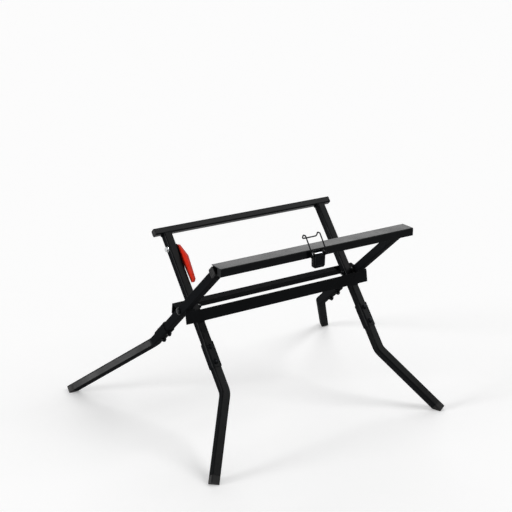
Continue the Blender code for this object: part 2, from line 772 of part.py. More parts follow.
def latch_base(material, parent):
    # Bracket on the front lip: a plate and two ears that are round about the pin.
    half = LATCH_BASE_WIDTH / 2
    back = RAIL_FRONT - SEAT
    web = back - LATCH_SHEET
    top = SUPPORT_HEIGHT - RAIL_ROUND
    low = Vector((LATCH_X - half, web, top - LATCH_BASE_HEIGHT))
    base = place("latch_base", block(low, Vector((LATCH_X + half, back, top))), material, parent)
    turns = [EAR_TURN + (1.5 * pi - EAR_TURN) * step / 10 for step in range(11)]
    round_end = [LATCH_AXIS.yz + LATCH_EAR * Vector((cos(a), sin(a))) for a in turns]
    root = web + LATCH_SHEET / 2
    outline = [Vector((root, round_end[0].y)), *round_end, Vector((root, round_end[-1].y))]
    for side in (-1, 1):
        ends = [LATCH_X + side * (half - SEAT - inset) for inset in (0, LATCH_SHEET)]
        combine(base, skin([[Vector((x, *spot)) for spot in outline] for x in ends]), "UNION")
    reach = X_AXIS * HANDLE_WIDTH
    hole(base, LATCH_AXIS - reach, LATCH_AXIS + reach, LATCH_PIN + 2 * FIT)


def latch_pin(material, parent):
    half = HANDLE_WIDTH / 2 + SEAT
    head = LATCH_PIN * 0.8
    thick = PIN_HEAD_RISE
    profile = (
        (-half - thick, head * 0.8), (-half - thick * 0.5, head), (-half, head),
        (-half, LATCH_PIN / 2), (half, LATCH_PIN / 2), (half, head),
        (half + thick * 0.5, head), (half + thick, head * 0.8),
    )
    place("latch_pin", turned(LATCH_AXIS, X_AXIS, profile), material, parent)


def latch_handle(material, parent):
    # Channel whose cheeks hang on the pin; its web starts below the pin to clear the ears.
    front = LATCH_AXIS.y - LATCH_EAR - SIDE_PLAY - LATCH_SHEET
    back = front + HANDLE_DEPTH
    web = front + LATCH_SHEET
    top = LATCH_AXIS.z + LATCH_PIN
    bottom = top - HANDLE_LENGTH
    wide = HANDLE_WIDTH / 2
    slim = wide - HANDLE_TAPER
    rings = []
    for z, half in ((bottom, slim - HANDLE_CORNER), (bottom + HANDLE_CORNER, slim), (top, wide)):
        inside = half - LATCH_SHEET
        outline = [(-half, front), (half, front), (half, back), (inside, back),
                   (inside, web), (-inside, web), (-inside, back), (-half, back)]
        rings.append([Vector((LATCH_X + x, y, z)) for x, y in outline])
    handle = place("latch_handle", skin(rings), material, parent)
    inside = wide - LATCH_SHEET - SIDE_PLAY
    low = Vector((LATCH_X - inside, front - LATCH_SHEET, LATCH_AXIS.z - SIDE_PLAY))
    high = Vector((LATCH_X + inside, web + LATCH_SHEET, top + LATCH_PIN))
    combine(handle, block(low, high), "DIFFERENCE")
    reach = X_AXIS * HANDLE_WIDTH
    for axis, size in ((LATCH_AXIS, LATCH_PIN), (BAIL_AXIS, BAIL_WIRE)):
        hole(handle, axis - reach, axis + reach, size + 2 * FIT)


def latch_bail(material, parent):
    # One wire: ends through the cheeks, up past the rail, over and down behind.
    inside = HANDLE_WIDTH / 2 - 1.5 * LATCH_SHEET
    out = HANDLE_WIDTH / 2 + BAIL_WIRE / 2 + 3 * SEAT + PIN_HEAD_RISE
    top = SUPPORT_HEIGHT + BAIL_HEIGHT
    seat = RAIL_FRONT + BAIL_SETBACK
    side = [BAIL_AXIS.yz, Vector((BAIL_AXIS.y, SUPPORT_HEIGHT)), Vector((seat, top)),
            Vector((seat + BAIL_GRIP * 0.7, top)), Vector((seat + BAIL_GRIP, top - BAIL_HOOK))]
    left = [Vector((LATCH_X - out, *spot)) for spot in side]
    right = [Vector((LATCH_X + out, *spot)) for spot in side[::-1]]
    ends = [BAIL_AXIS + X_AXIS * x for x in (-inside, inside)]
    path = round_path([ends[0], *left, *right, ends[1]], BAIL_WIRE * 1.1, 3)
    place("latch_bail", wire(path, BAIL_WIRE / 2), material, parent)


def build_frame(frame, words, rail, coat, zinc, plastic, parent):
    upper, lower = words
    for word, side in SIDES:
        leg = upper_leg(f"{upper}_leg_{word}", frame, side, rail, coat, parent)
        if frame is INNER and side < 0:
            lever_hole(leg, BOLT + 2 * FIT)
        lower_leg(f"{lower}_lower_leg_{word}", frame, side, coat, parent)
        foot(f"{lower}_foot_{word}", frame, side, plastic, parent)
        sleeve(f"{lower}_sleeve_{word}", frame, side, coat, parent)
        for level, along in zip(("upper", "lower"), sleeve_bolts_along(frame)):
            name = f"{lower}_sleeve_{{}}_{word}_{level}"
            sleeve_bolt(name.format("bolt"), frame, side, along, zinc, parent)
            sleeve_nut(name.format("nut"), frame, side, along, zinc, parent)


def build():
    clear_scene()
    coat = surface("black_powder_coat", (0.022, 0.023, 0.025), 0.42, 0.0)
    zinc = surface("zinc_plated_steel", (0.62, 0.63, 0.64), 0.30, 1.0)
    black_zinc = surface("black_plated_steel", (0.05, 0.05, 0.055), 0.38, 0.8)
    plastic = surface("black_plastic", (0.018, 0.018, 0.019), 0.55, 0.0)
    red = surface("red_plastic", (0.70, 0.045, 0.018), 0.40, 0.0)
    fold_axis = axis_empty("fold_axis", PIVOT)
    lever_axis = axis_empty("lever_axis", LEVER_AXIS)
    latch_axis = axis_empty("latch_axis", LATCH_AXIS)
    bail_axis = axis_empty("bail_axis", BAIL_AXIS)

    build_frame(INNER, ("inner", "front"), REAR_RAIL, coat, black_zinc, plastic, None)
    build_frame(OUTER, ("outer", "rear"), FRONT_TUBE, coat, black_zinc, plastic, fold_axis)
    cross_tube("rear_rail", REAR_RAIL, coat, None)
    cross_tube("front_tube", FRONT_TUBE, coat, fold_axis)
    for word, side in SIDES:
        tube_plug(f"rear_rail_plug_{word}", REAR_RAIL, side, plastic, None)
        tube_plug(f"front_tube_plug_{word}", FRONT_TUBE, side, plastic, fold_axis)
        pivot_bolt(f"pivot_bolt_{word}", side, black_zinc)
        pivot_nut(f"pivot_nut_{word}", side, black_zinc)
        pivot_spacer(f"pivot_spacer_{word}", side, plastic)
    front_bar(coat)
    rear_bar(coat, fold_axis)
    front_rail(coat, fold_axis)
    release_lever(red, lever_axis)
    lock_hook(black_zinc, lever_axis)
    hook_rivet(zinc, lever_axis)
    lever_bolt(zinc)
    lever_nut(black_zinc)
    latch_base(black_zinc, fold_axis)
    latch_pin(zinc, fold_axis)
    latch_handle(black_zinc, latch_axis)
    latch_bail(black_zinc, bail_axis)


build()
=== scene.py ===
import bmesh
import bpy
import json
from math import cos, pi, radians, sin
from mathutils import Matrix, Vector


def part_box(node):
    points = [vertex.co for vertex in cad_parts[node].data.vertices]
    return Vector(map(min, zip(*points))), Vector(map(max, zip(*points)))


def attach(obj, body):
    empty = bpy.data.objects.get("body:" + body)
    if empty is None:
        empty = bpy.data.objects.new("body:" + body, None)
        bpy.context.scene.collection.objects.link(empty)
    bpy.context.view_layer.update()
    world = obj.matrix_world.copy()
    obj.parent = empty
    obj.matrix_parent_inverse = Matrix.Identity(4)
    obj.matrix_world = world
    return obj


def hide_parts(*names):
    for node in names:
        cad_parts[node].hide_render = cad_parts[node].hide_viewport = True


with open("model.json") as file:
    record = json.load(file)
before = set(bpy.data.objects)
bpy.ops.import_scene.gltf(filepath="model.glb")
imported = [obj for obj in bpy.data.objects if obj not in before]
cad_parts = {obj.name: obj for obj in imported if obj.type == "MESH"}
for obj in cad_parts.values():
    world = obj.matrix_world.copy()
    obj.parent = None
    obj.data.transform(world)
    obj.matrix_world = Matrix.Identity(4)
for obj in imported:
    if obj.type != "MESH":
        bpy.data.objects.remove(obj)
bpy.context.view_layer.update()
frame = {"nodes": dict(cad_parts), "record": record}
cadNodes = frame["nodes"]
scene = bpy.context.scene
scene.view_settings.view_transform = "Standard"
print("frame loaded:", len(cadNodes), "nodes")


def metres(millimetres):
    return millimetres / 1000


def perMetre(millimetres):
    # texture scale for features of this size
    return 1000 / millimetres


def hexColour(code):
    # sRGB hex to the linear colour that the shaders want
    channels = [int(code[i:i + 2], 16) / 255 for i in (1, 3, 5)]
    linear = [c / 12.92 if c <= 0.04045 else ((c + 0.055) / 1.055) ** 2.4 for c in channels]
    return (*linear, 1)


def addNode(tree, kind, links=None, **settings):
    # one node with its settings; a link is another node's output, anything else a value
    node = tree.nodes.new(kind)
    for name, value in settings.items():
        setattr(node, name, value)
    for name, value in (links or {}).items():
        if isinstance(value, bpy.types.NodeSocket):
            tree.links.new(value, node.inputs[name])
        else:
            node.inputs[name].default_value = value
    return node


def newMaterial(name):
    material = bpy.data.materials.new(name)
    material.use_nodes = True
    tree = material.node_tree
    return material, tree, tree.nodes["Principled BSDF"]


def findCorners(tree, look):
    # the normal with its edges rounded, the plain normal, and the corners, where they part
    rounded = addNode(tree, "ShaderNodeBevel", {"Radius": metres(look["edgeMm"])}, samples=4)
    plain = addNode(tree, "ShaderNodeNewGeometry").outputs["Normal"]
    turn = addNode(tree, "ShaderNodeVectorMath", {
        0: rounded.outputs["Normal"], 1: plain}, operation="DOT_PRODUCT")
    corner = addNode(tree, "ShaderNodeMapRange", {
        "Value": turn.outputs["Value"], **look["corner"]})
    return rounded.outputs["Normal"], plain, corner.outputs["Result"]


def wireShader(tree, shader, look, colour, rough, relief, rounded):
    # colour, roughness and bump go to the shader; what is the same all over is set on it
    bump = addNode(tree, "ShaderNodeBump", {
        "Height": relief, "Normal": rounded, **look["bump"]})
    tree.links.new(colour.outputs["Result"], shader.inputs["Base Color"])
    tree.links.new(rough, shader.inputs["Roughness"])
    tree.links.new(bump.outputs["Normal"], shader.inputs["Normal"])
    for name, value in look["allOver"].items():
        shader.inputs[name].default_value = value


# in each look a pattern's scale comes from the size of its features in millimetres, and
# From Min and From Max are where in the pattern a mark starts and where it is full
coatLook = {
    "film": "#060709", "thinFilm": "#0b0d0f", "dust": "#2b2b2a", "primer": "#3d3f41",
    "peel": {"Scale": perMetre(4), "Detail": 2.0},
    "cloud": {"Scale": perMetre(55), "Detail": 4.0},
    "chips": {"Scale": perMetre(4), "Detail": 5.0, "Roughness": 0.7},
    "grime": {"Scale": perMetre(16), "Detail": 6.0, "Roughness": 0.65},
    "edgeMm": 0.8, "corner": {"From Min": 0.995, "From Max": 0.88},
    "chipped": {"From Min": 0.52, "From Max": 0.66},
    "clouded": {"From Min": 0.35, "From Max": 0.7},
    "level": {"From Min": 0.35, "From Max": 1.0, "To Max": 0.5},
    "settled": {"From Min": 0.4, "From Max": 0.75},
    "rough": {"To Min": 0.25, "To Max": 0.35}, "roughDust": 0.25,
    "grazing": {"From Min": 0.26, "From Max": 0.54, "To Max": 0.6},
    "bump": {"Strength": 0.3, "Distance": metres(0.6)},
    "allOver": {"Specular IOR Level": 0.045},
}
# the rails are rubbed smooth by what stands on them
railCoatLook = {
    **coatLook, "rough": {"To Min": 0.2, "To Max": 0.3},
    "level": {**coatLook["level"], "To Max": 0.1},
    "grazing": {**coatLook["grazing"], "To Max": 0},
    "allOver": {"Specular IOR Level": 0.058},
}


def makePowderCoat(name, look):
    # powder coat on steel: a baked satin film with orange peel (drawn coarser than the real
    # 1.5 mm so that it shows), which also dulls the gloss at a low angle, corners where the
    # film is thin and chipped, dust on what faces up
    material, tree, shader = newMaterial(name)
    place = addNode(tree, "ShaderNodeTexCoord").outputs["Object"]
    peel, cloud, chips, grime = [
        addNode(tree, "ShaderNodeTexNoise", {"Vector": place, **look[pattern]}).outputs["Fac"]
        for pattern in ("peel", "cloud", "chips", "grime")]
    rounded, plain, corner = findCorners(tree, look)
    broken = addNode(tree, "ShaderNodeMapRange", {"Value": chips, **look["chipped"]})
    chipped = addNode(tree, "ShaderNodeMath", {
        0: corner, 1: broken.outputs["Result"]}, operation="MULTIPLY")
    shade = addNode(tree, "ShaderNodeMapRange", {"Value": cloud, **look["clouded"]})
    film = addNode(tree, "ShaderNodeMix", {
        "Factor": shade.outputs["Result"], "A": hexColour(look["film"]),
        "B": hexColour(look["thinFilm"])}, data_type="RGBA")
    up = addNode(tree, "ShaderNodeSeparateXYZ", {"Vector": plain})
    level = addNode(tree, "ShaderNodeMapRange", {"Value": up.outputs["Z"], **look["level"]})
    settled = addNode(tree, "ShaderNodeMapRange", {"Value": grime, **look["settled"]})
    dusty = addNode(tree, "ShaderNodeMath", {
        0: level.outputs["Result"], 1: settled.outputs["Result"]}, operation="MULTIPLY")
    dusted = addNode(tree, "ShaderNodeMix", {
        "Factor": dusty.outputs["Value"], "A": film.outputs["Result"],
        "B": hexColour(look["dust"])}, data_type="RGBA")
    colour = addNode(tree, "ShaderNodeMix", {
        "Factor": chipped.outputs["Value"], "A": dusted.outputs["Result"],
        "B": hexColour(look["primer"])}, data_type="RGBA")
    sheen = addNode(tree, "ShaderNodeMapRange", {
        "Value": shade.outputs["Result"], **look["rough"]})
    dull = addNode(tree, "ShaderNodeMath", {
        0: dusty.outputs["Value"], 1: look["roughDust"],
        2: sheen.outputs["Result"]}, operation="MULTIPLY_ADD")
    grazing = addNode(tree, "ShaderNodeMapRange", {
        "Value": addNode(tree, "ShaderNodeLayerWeight").outputs["Facing"], **look["grazing"]})
    rough = addNode(tree, "ShaderNodeMath", {
        0: dull.outputs["Value"], 1: grazing.outputs["Result"]}, operation="ADD")
    wireShader(tree, shader, look, colour, rough.outputs["Value"], peel, rounded)
    return material


platedLook = {
    "metal": "#131416", "oxide": "#0b0c0d", "worn": "#5a5c5f",
    "blotch": {"Scale": perMetre(7), "Detail": 5.0},
    "grain": {"Scale": perMetre(0.9), "Detail": 2.0},
    "rub": {"Scale": perMetre(2.5), "Detail": 4.0, "Roughness": 0.7},
    "edgeMm": 0.45, "corner": {"From Min": 0.99, "From Max": 0.85},
    "rubbed": {"From Min": 0.42, "From Max": 0.62, "To Max": 0.7},
    "patchy": {"From Min": 0.35, "From Max": 0.68},
    "rough": {"To Min": 0.24, "To Max": 0.4},
    "bump": {"Strength": 0.12, "Distance": metres(0.2)}, "allOver": {"Metallic": 1},
}


def makePlatedSteel(look):
    # black zinc on steel: dark metal with cloudy patches, rubbed bright along its edges
    material, tree, shader = newMaterial("blackPlatedSteel")
    place = addNode(tree, "ShaderNodeTexCoord").outputs["Object"]
    blotch, grain, rub = [
        addNode(tree, "ShaderNodeTexNoise", {"Vector": place, **look[pattern]}).outputs["Fac"]
        for pattern in ("blotch", "grain", "rub")]
    rounded, _, corner = findCorners(tree, look)
    bright = addNode(tree, "ShaderNodeMapRange", {"Value": rub, **look["rubbed"]})
    worn = addNode(tree, "ShaderNodeMath", {
        0: corner, 1: bright.outputs["Result"]}, operation="MULTIPLY")
    patch = addNode(tree, "ShaderNodeMapRange", {"Value": blotch, **look["patchy"]})
    skin = addNode(tree, "ShaderNodeMix", {
        "Factor": patch.outputs["Result"], "A": hexColour(look["metal"]),
        "B": hexColour(look["oxide"])}, data_type="RGBA")
    colour = addNode(tree, "ShaderNodeMix", {
        "Factor": worn.outputs["Value"], "A": skin.outputs["Result"],
        "B": hexColour(look["worn"])}, data_type="RGBA")
    rough = addNode(tree, "ShaderNodeMapRange", {
        "Value": patch.outputs["Result"], **look["rough"]})
    wireShader(tree, shader, look, colour, rough.outputs["Result"], grain, rounded)
    return material


zincLook = {
    "bright": "#c9ccd0", "tint": "#c3bda9", "dull": "#96999d",
    "straw": {"Scale": perMetre(6), "Detail": 3.0},
    "handled": {"Scale": perMetre(2.2), "Detail": 5.0, "Roughness": 0.65},
    "drawn": {"Scale": perMetre(0.7), "Detail": 2.0},
    "edgeMm": 0.4, "warm": {"From Min": 0.45, "From Max": 0.7, "To Max": 0.6},
    "spots": {"From Min": 0.5, "From Max": 0.72},
    "rough": {"To Min": 0.2, "To Max": 0.42},
    "bump": {"Strength": 0.08, "Distance": metres(0.2)}, "allOver": {"Metallic": 1},
}


def makeZinc(look):
    # bright zinc plate: pale metal, a faint straw tint in patches and dull handled spots
    material, tree, shader = newMaterial("zincPlate")
    place = addNode(tree, "ShaderNodeTexCoord").outputs["Object"]
    straw, handled, drawn = [
        addNode(tree, "ShaderNodeTexNoise", {"Vector": place, **look[pattern]}).outputs["Fac"]
        for pattern in ("straw", "handled", "drawn")]
    rounded = addNode(tree, "ShaderNodeBevel", {"Radius": metres(look["edgeMm"])}, samples=4)
    warm = addNode(tree, "ShaderNodeMapRange", {"Value": straw, **look["warm"]})
    spots = addNode(tree, "ShaderNodeMapRange", {"Value": handled, **look["spots"]})
    plate = addNode(tree, "ShaderNodeMix", {
        "Factor": warm.outputs["Result"], "A": hexColour(look["bright"]),
        "B": hexColour(look["tint"])}, data_type="RGBA")
    colour = addNode(tree, "ShaderNodeMix", {
        "Factor": spots.outputs["Result"], "A": plate.outputs["Result"],
        "B": hexColour(look["dull"])}, data_type="RGBA")
    rough = addNode(tree, "ShaderNodeMapRange", {
        "Value": spots.outputs["Result"], **look["rough"]})
    wireShader(tree, shader, look, colour, rough.outputs["Result"], drawn,
               rounded.outputs["Normal"])
    return material


plasticLook = {
    "moulded": "#0c0c0d", "faded": "#151515", "scuff": "#363432",
    "grain": {"Scale": perMetre(1)},
    "fade": {"Scale": perMetre(20), "Detail": 4.0},
    "drag": {"Scale": perMetre(3), "Detail": 6.0, "Roughness": 0.7},
    "edgeMm": 0.6, "corner": {"From Min": 0.99, "From Max": 0.86, "To Max": 0.6},
    "nearFloor": {"From Min": metres(14), "From Max": metres(1)},
    "patchy": {"From Min": 0.5, "From Max": 0.7},
    "greyed": {"From Min": 0.35, "From Max": 0.7},
    "rough": {"To Min": 0.46, "To Max": 0.62},
    "bump": {"Strength": 0.2, "Distance": metres(0.3)},
    "allOver": {"Specular IOR Level": 0.15},
}


def makeBlackPlastic(look):
    # moulded black plastic: spark-eroded grain (drawn coarser than the real 0.3 mm so that
    # it shows), greyed patches, and pale scuffs where a foot drags on the floor
    material, tree, shader = newMaterial("grainedBlackPlastic")
    place = addNode(tree, "ShaderNodeTexCoord").outputs["Object"]
    grain = addNode(tree, "ShaderNodeTexVoronoi", {
        "Vector": place, **look["grain"]}, feature="SMOOTH_F1")
    fade, drag = [
        addNode(tree, "ShaderNodeTexNoise", {"Vector": place, **look[pattern]}).outputs["Fac"]
        for pattern in ("fade", "drag")]
    rounded, _, corner = findCorners(tree, look)
    height = addNode(tree, "ShaderNodeSeparateXYZ", {"Vector": place})
    nearFloor = addNode(tree, "ShaderNodeMapRange", {
        "Value": height.outputs["Z"], **look["nearFloor"]})
    exposed = addNode(tree, "ShaderNodeMath", {
        0: corner, 1: nearFloor.outputs["Result"]}, operation="MAXIMUM")
    patchy = addNode(tree, "ShaderNodeMapRange", {"Value": drag, **look["patchy"]})
    rubbed = addNode(tree, "ShaderNodeMath", {
        0: exposed.outputs["Value"], 1: patchy.outputs["Result"]}, operation="MULTIPLY")
    shade = addNode(tree, "ShaderNodeMapRange", {"Value": fade, **look["greyed"]})
    skin = addNode(tree, "ShaderNodeMix", {
        "Factor": shade.outputs["Result"], "A": hexColour(look["moulded"]),
        "B": hexColour(look["faded"])}, data_type="RGBA")
    colour = addNode(tree, "ShaderNodeMix", {
        "Factor": rubbed.outputs["Value"], "A": skin.outputs["Result"],
        "B": hexColour(look["scuff"])}, data_type="RGBA")
    rough = addNode(tree, "ShaderNodeMapRange", {
        "Value": shade.outputs["Result"], **look["rough"]})
    wireShader(tree, shader, look, colour, rough.outputs["Result"],
               grain.outputs["Distance"], rounded)
    return material


redLook = {
    # edge is a paler red painted on the corners as a highlight, as far as corner lets it
    "moulded": "#d52a12", "flow": "#c4240f", "edge": "#e6512f", "grime": "#7a1a10",
    "grain": {"Scale": perMetre(0.9)},
    "marks": {"Scale": perMetre(28), "Detail": 3.0, "Distortion": 1.2},
    "dirt": {"Scale": perMetre(5), "Detail": 6.0, "Roughness": 0.7},
    "edgeMm": 0.8, "corner": {"From Min": 0.99, "From Max": 0.86, "To Max": 0.6},
    "flowed": {"From Min": 0.35, "From Max": 0.68},
    "dirty": {"From Min": 0.62, "From Max": 0.8, "To Max": 0.18},
    "rough": {"To Min": 0.36, "To Max": 0.5},
    "bump": {"Strength": 0.15, "Distance": metres(0.3)},
    "allOver": {"Specular IOR Level": 0.25},
}


def makeRedPlastic(look):
    # moulded red plastic: slow flow marks in the colour, a fine grain that takes the shine
    # down, a painted highlight of paler red on the corners and a little dirt in patches
    material, tree, shader = newMaterial("mouldedRedPlastic")
    place = addNode(tree, "ShaderNodeTexCoord").outputs["Object"]
    grain = addNode(tree, "ShaderNodeTexVoronoi", {
        "Vector": place, **look["grain"]}, feature="SMOOTH_F1")
    marks, dirt = [
        addNode(tree, "ShaderNodeTexNoise", {"Vector": place, **look[pattern]}).outputs["Fac"]
        for pattern in ("marks", "dirt")]
    rounded, _, corner = findCorners(tree, look)
    shade = addNode(tree, "ShaderNodeMapRange", {"Value": marks, **look["flowed"]})
    dirty = addNode(tree, "ShaderNodeMapRange", {"Value": dirt, **look["dirty"]})
    skin = addNode(tree, "ShaderNodeMix", {
        "Factor": shade.outputs["Result"], "A": hexColour(look["moulded"]),
        "B": hexColour(look["flow"])}, data_type="RGBA")
    # the corners painted a paler red, as a painted highlight
    handled = addNode(tree, "ShaderNodeMix", {
        "Factor": corner, "A": skin.outputs["Result"],
        "B": hexColour(look["edge"])}, data_type="RGBA")
    colour = addNode(tree, "ShaderNodeMix", {
        "Factor": dirty.outputs["Result"], "A": handled.outputs["Result"],
        "B": hexColour(look["grime"])}, data_type="RGBA")
    rough = addNode(tree, "ShaderNodeMapRange", {
        "Value": shade.outputs["Result"], **look["rough"]})
    wireShader(tree, shader, look, colour, rough.outputs["Result"],
               grain.outputs["Distance"], rounded)
    return material


slotFinish = {
    "coated_steel": makePowderCoat("blackPowderCoat", coatLook),
    "black_steel": makePlatedSteel(platedLook),
    "zinc_steel": makeZinc(zincLook),
    "black_plastic": makeBlackPlastic(plasticLook),
    "red_plastic": makeRedPlastic(redLook),
}
rubbedCoat = makePowderCoat("rubbedPowderCoat", railCoatLook)
nodeFinish = {"front_rail": rubbedCoat, "rear_rail": rubbedCoat}
print("materials made:", len(slotFinish) + 1)

slotOf = {part["node"]: part["material_slot"] for part in frame["record"]["subparts"]}
bodyOf = {node: body for body, nodes in frame["record"]["behaviour"]["bodies"].items()
          for node in nodes}

meshLook = {
    # doubles closer than this merge, flats within this many degrees join, and edges past
    # this many degrees stay sharp in the shading
    "mergeMm": 0.01, "flat": 0.5, "sharpShade": 50,
    # cosine above which a face looks along a direction, and below which it lies along it
    "endOn": 0.9, "sideOn": 0.5,
    "edgeRings": 2,  # segments across a broken edge
}


def pickAlone(piece):
    bpy.ops.object.select_all(action="DESELECT")
    piece.select_set(True)
    bpy.context.view_layer.objects.active = piece


def inEditMode(piece):
    # the piece alone, in edit mode with all of it picked
    pickAlone(piece)
    bpy.ops.object.mode_set(mode="EDIT")
    bpy.ops.mesh.select_all(action="SELECT")


def pickFaces(piece, wanted):
    # lets everything go and picks faces by their place or normal; needs edit mode
    bpy.ops.mesh.select_mode(type="FACE")
    bpy.ops.mesh.select_all(action="DESELECT")
    mesh = bmesh.from_edit_mesh(piece.data)
    for face in mesh.faces:
        face.select_set(wanted(face))
    bmesh.update_edit_mesh(piece.data)


def makerName(node):
    first, *rest = node.split("_")
    return first + "".join(word.capitalize() for word in rest)


def copyNode(node):
    # the node's own shape as a mesh to work on, with its triangles merged to whole faces
    piece = bpy.data.objects.new(makerName(node), cadNodes[node].data.copy())
    scene.collection.objects.link(piece)
    inEditMode(piece)
    bpy.ops.mesh.remove_doubles(threshold=metres(meshLook["mergeMm"]))
    bpy.ops.mesh.dissolve_limited(angle_limit=radians(meshLook["flat"]))
    bpy.ops.mesh.normals_make_consistent(inside=False)
    return piece


def closeUp():
    # a drawn piece made one closed skin, and back to object mode
    bpy.ops.mesh.select_all(action="SELECT")
    bpy.ops.mesh.remove_doubles(threshold=metres(meshLook["mergeMm"]))
    bpy.ops.mesh.normals_make_consistent(inside=False)
    bpy.ops.object.mode_set(mode="OBJECT")


def finishPiece(piece, look, node=None, body=None, slot=None):
    # sharp edges broken, round forms shaded smooth, flats kept flat, then hung on its body
    bpy.ops.object.mode_set(mode="OBJECT")
    pickAlone(piece)
    edge = piece.modifiers.new("brokenEdge", "BEVEL")
    edge.width = metres(look["edgeMm"])
    edge.segments = meshLook["edgeRings"]
    edge.limit_method = "ANGLE"
    edge.angle_limit = radians(look["sharp"])
    bpy.ops.object.modifier_apply(modifier="brokenEdge")
    bpy.ops.object.shade_smooth_by_angle(angle=radians(meshLook["sharpShade"]))
    flat = piece.modifiers.new("flatsStayFlat", "WEIGHTED_NORMAL")
    flat.keep_sharp = True
    bpy.ops.object.modifier_apply(modifier="flatsStayFlat")
    slot = slot or slotOf[node]
    piece.data.materials.clear()
    piece.data.materials.append(nodeFinish.get(node, slotFinish[slot]))
    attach(piece, body or bodyOf[node])
    if node:
        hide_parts(node)


frameLook = {
    # degrees that the legs lean and that the lower legs splay, and which way the legs rise
    "inner": {"lean": radians(49.56), "splay": radians(29.1), "rise": 1},
    "outer": {"lean": radians(42.06), "splay": radians(31.2), "rise": -1},
}
acrossX = Vector((1, 0, 0))
# directions of the two crossing frames: up the leg, and out of its upper face
upLeg = {word: Vector((0, look["rise"] * cos(look["lean"]), sin(look["lean"])))
         for word, look in frameLook.items()}
upFace = {word: Vector((0, -look["rise"] * sin(look["lean"]), cos(look["lean"])))
          for word, look in frameLook.items()}
frameOf = {"front": "inner", "rear": "outer"}  # which frame stands on these feet


def spanAlong(node, direction):
    reach = [vertex.co.dot(direction) for vertex in cadNodes[node].data.vertices]
    return min(reach), max(reach)


def middleAlong(node, direction):
    low, high = spanAlong(node, direction)
    return (low + high) / 2


def turnedTo(spot, forward, upward):
    # moves a piece modelled along X and Z so that these lie along the two directions
    side = upward.cross(forward)
    return Matrix.Translation(spot) @ Matrix((forward, side, upward)).transposed().to_4x4()


def cutGroove(piece, along, start, look):
    # cuts the piece through twice and sinks the band between the cuts
    end = start + metres(look["wideMm"])
    for cut in (start, end):
        bpy.ops.mesh.select_all(action="SELECT")
        bpy.ops.mesh.bisect(plane_co=along * cut, plane_no=along)
    pickFaces(piece, lambda face: abs(face.normal.dot(along)) < meshLook["sideOn"]
              and start < face.calc_center_median().dot(along) < end)
    bpy.ops.mesh.extrude_region_shrink_fatten(
        TRANSFORM_OT_shrink_fatten={"value": -metres(look["deepMm"])})


footLook = {"grooveMm": 3.0, "wideMm": 1.3, "deepMm": 0.45, "edgeMm": 0.5, "sharp": 20}


def modelFoot(node, look):
    # the foot cap with a groove just under the end of the tube
    word = frameOf[node.split("_")[0]]
    splay = frameLook[word]["splay"]
    side = -1 if node.endswith("left") else 1
    down = acrossX * side * sin(splay) - upLeg[word] * cos(splay)
    tubeEnd = spanAlong(node.replace("foot", "lower_leg"), down)[1]
    piece = copyNode(node)
    cutGroove(piece, down, tubeEnd + metres(look["grooveMm"]), look)
    finishPiece(piece, look, node)


plugLook = {
    "rimMm": 3.2, "deepMm": 0.8, "taper": 0.9, "edgeMm": 0.4, "sharp": 20,
    "endOn": 0.98, "nearMm": 0.2,  # what counts as its outer face
}


def modelPlug(node, look):
    # the tube plug with its outer face dished inside a rim
    out = -acrossX if node.endswith("left") else acrossX
    end = spanAlong(node, out)[1] - metres(look["nearMm"])
    piece = copyNode(node)
    pickFaces(piece, lambda face: face.normal.dot(out) > look["endOn"]
              and face.calc_center_median().dot(out) > end)
    bpy.ops.mesh.inset(thickness=metres(look["rimMm"]))
    bpy.ops.mesh.extrude_region_move(
        TRANSFORM_OT_translate={"value": -out * metres(look["deepMm"])})
    bpy.ops.transform.resize(value=(1, look["taper"], look["taper"]))
    finishPiece(piece, look, node)


leverLook = {
    # grooves across the grip, measured up the leg from the lever's low end
    "groovesMm": (8, 14, 20, 45), "wideMm": 1.6, "deepMm": 0.5, "edgeMm": 0.3, "sharp": 34,
}


def modelLever(node, look):
    # the moulded lever with finger grooves in its grip and a step where the blade begins
    low = spanAlong(node, upLeg["inner"])[0]
    piece = copyNode(node)
    for groove in look["groovesMm"]:
        cutGroove(piece, upLeg["inner"], low + metres(groove), look)
    finishPiece(piece, look, node)


handleLook = {
    "rimMm": 5, "slopeMm": 0.9, "deepMm": 0.7, "edgeMm": 0.35, "sharp": 28,
    "endOn": 0.99, "nearMm": 0.5,  # what counts as its front
}


def modelLatchHandle(node, look):
    # the pressed handle with a stiffening panel sunk in its front
    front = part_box(node)[0][1] + metres(look["nearMm"])
    piece = copyNode(node)
    pickFaces(piece, lambda face: face.normal.y < -look["endOn"]
              and face.calc_center_median().y < front)
    bpy.ops.mesh.inset(thickness=metres(look["rimMm"]))
    bpy.ops.mesh.inset(thickness=metres(look["slopeMm"]), depth=-metres(look["deepMm"]))
    finishPiece(piece, look, node)


bailLook = {"levels": 2, "edgeMm": 0.05, "sharp": 80}


def modelBail(node, look):
    # the drawn wire, rounded by subdivision
    piece = copyNode(node)
    bpy.ops.object.mode_set(mode="OBJECT")
    smooth = piece.modifiers.new("roundWire", "SUBSURF")
    smooth.levels = smooth.render_levels = look["levels"]
    bpy.ops.object.modifier_apply(modifier="roundWire")
    finishPiece(piece, look, node)


def placeAlong(piece, node, out, seat):
    # a piece modelled up Z with its seat at zero goes on the node's own axis
    forward = Vector((0, 1, 0)) if abs(out.x) > meshLook["sideOn"] else acrossX
    side = out.cross(forward)
    middle = forward * middleAlong(node, forward) + side * middleAlong(node, side)
    piece.data.transform(turnedTo(middle + out * seat, forward, out))


def growRings(rings, reach, height=0):
    # draws the picked end of a round piece out through (height, radius) rings
    for nextHeight, nextReach in rings:
        bpy.ops.mesh.extrude_region_move(
            TRANSFORM_OT_translate={"value": (0, 0, nextHeight - height)})
        grow = nextReach / reach
        bpy.ops.transform.resize(value=(grow, grow, 1), center_override=(0, 0, nextHeight))
        height, reach = nextHeight, nextReach


def pickTop(piece):
    pickFaces(piece, lambda face: face.normal.z > meshLook["endOn"])


